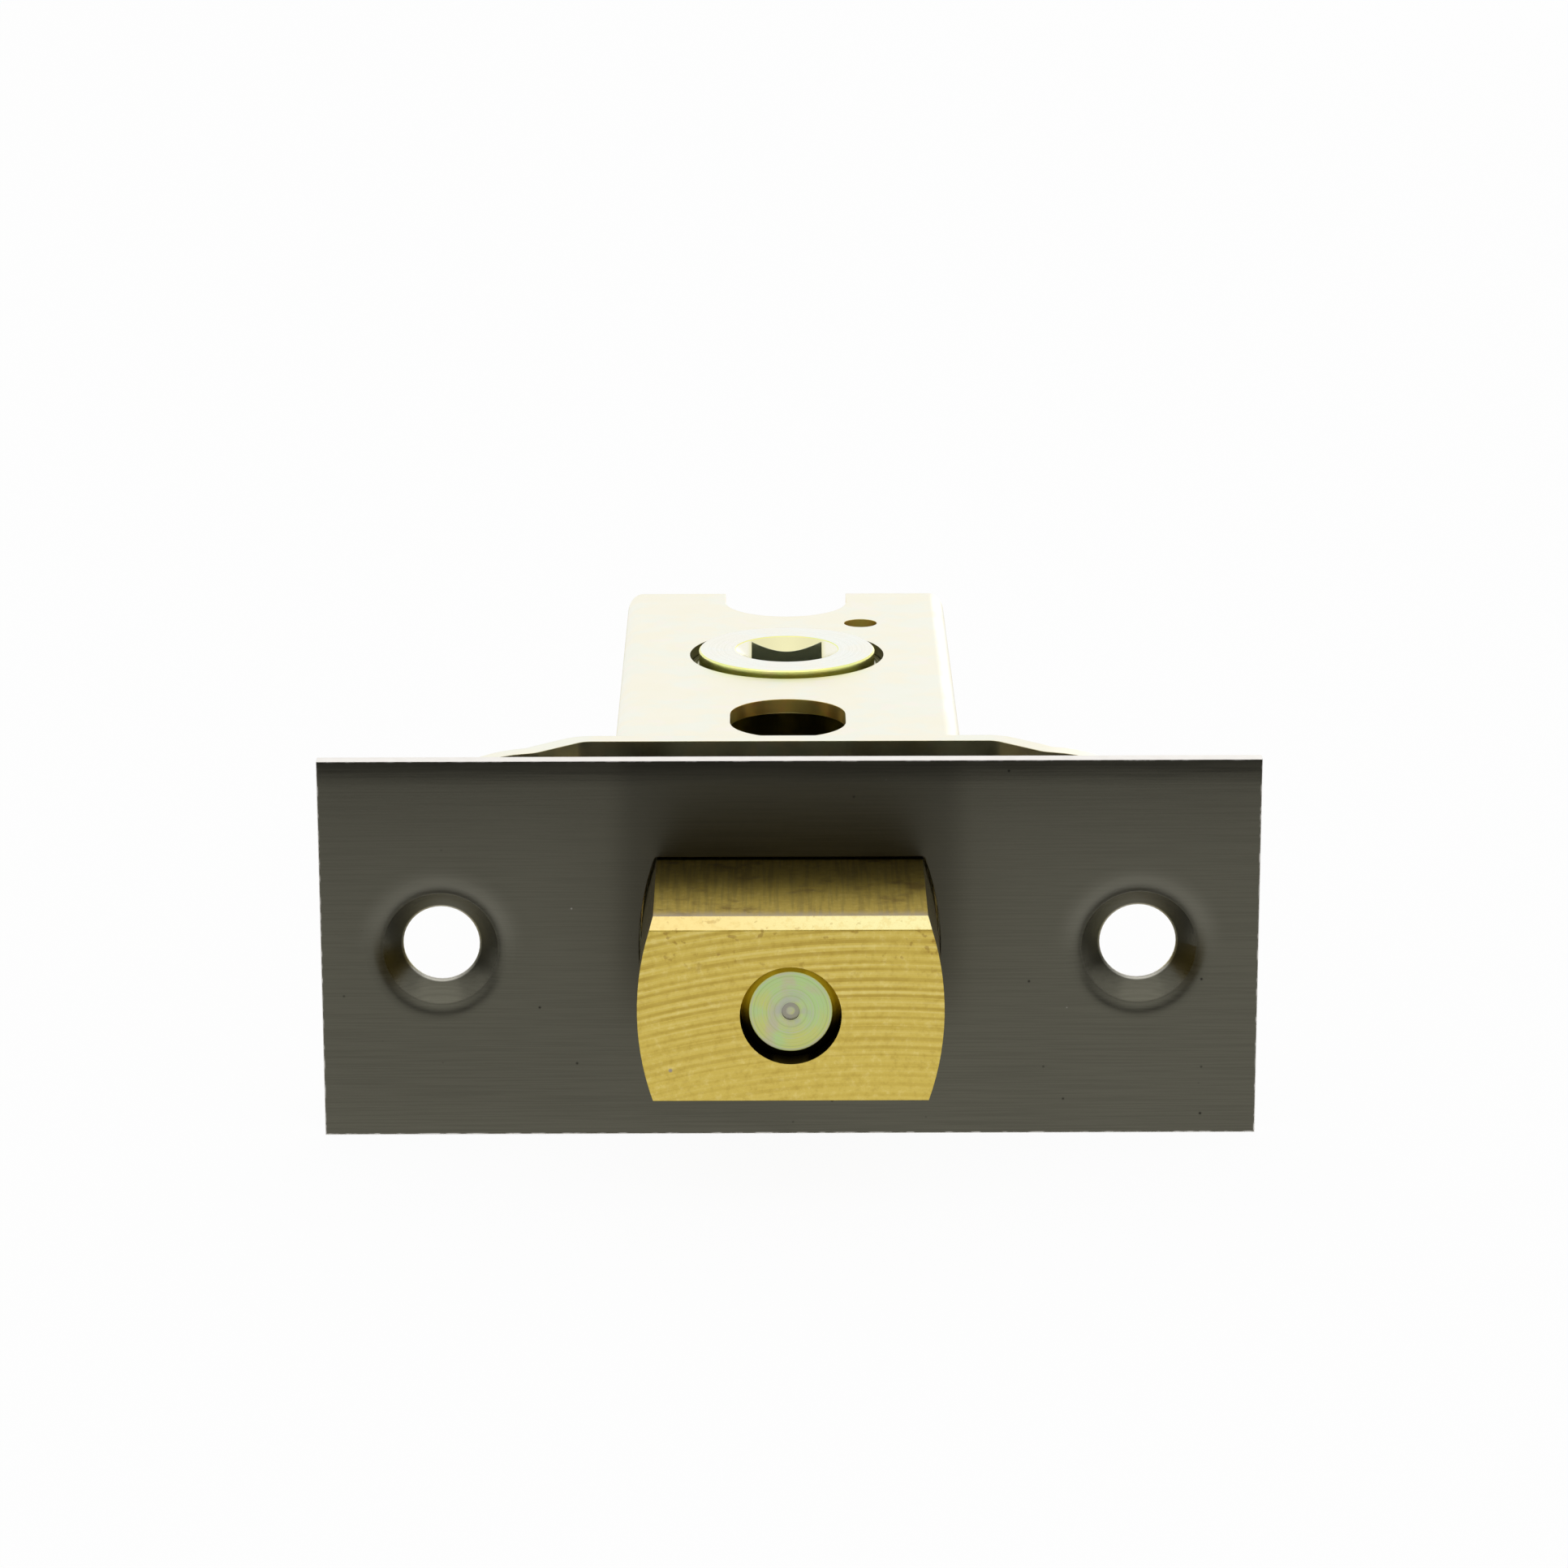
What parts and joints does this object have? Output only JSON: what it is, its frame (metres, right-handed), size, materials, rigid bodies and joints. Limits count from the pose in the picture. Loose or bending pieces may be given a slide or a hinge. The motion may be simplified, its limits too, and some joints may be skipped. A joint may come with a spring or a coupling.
{
  "type": "tubular deadbolt",
  "caption": "Tubular deadbolt with a flat countersunk forend, a sliding brass bolt and a folded steel case whose square spindle hub throws and retracts the bolt.",
  "frame": {"origin": "centre of the outer forend's front face, on the bolt's axis, midway between the forend screw holes", "axes": "+X along the forend's length, +Y into the door along the bolt's way back, +Z along the spindle"},
  "size_m": [0.06, 0.075, 0.025],
  "materials": {
    "dark_bronze": "satin dark bronze plate",
    "yellow_zinc": "yellow passivated zinc plate",
    "pale_zinc": "pale iridescent zinc plate",
    "brass": "milled brass",
    "steel": "plain drawn steel"
  },
  "bodies": {
    "case": {"outer_forend": "dark_bronze", "inner_forend": "yellow_zinc", "case_shell": "yellow_zinc", "case_cover": "yellow_zinc", "detent_post": "steel", "detent_spring": "steel"},
    "bolt": {"bolt": "brass", "core_pin": "pale_zinc", "tail": "yellow_zinc", "tail_rivets": "steel"},
    "hub": {"hub": "pale_zinc", "crank_pin": "steel"}
  },
  "joints": [
    {"name": "hub_turn", "type": "hinge", "parent": "case", "child": "hub", "pos_m": [0, 0.044, 0], "axis": [0, 0, -1], "range_deg": [0, 110.6], "deforming": ["detent_spring"]},
    {"name": "bolt_slide", "type": "slide", "parent": "case", "child": "bolt", "axis": [0, 1, 0], "range_m": [0, 0.013]}
  ],
  "couplings": [
    {"joint": "hub_turn", "follows": "bolt_slide", "rad_per_m": 148.5}
  ]
}
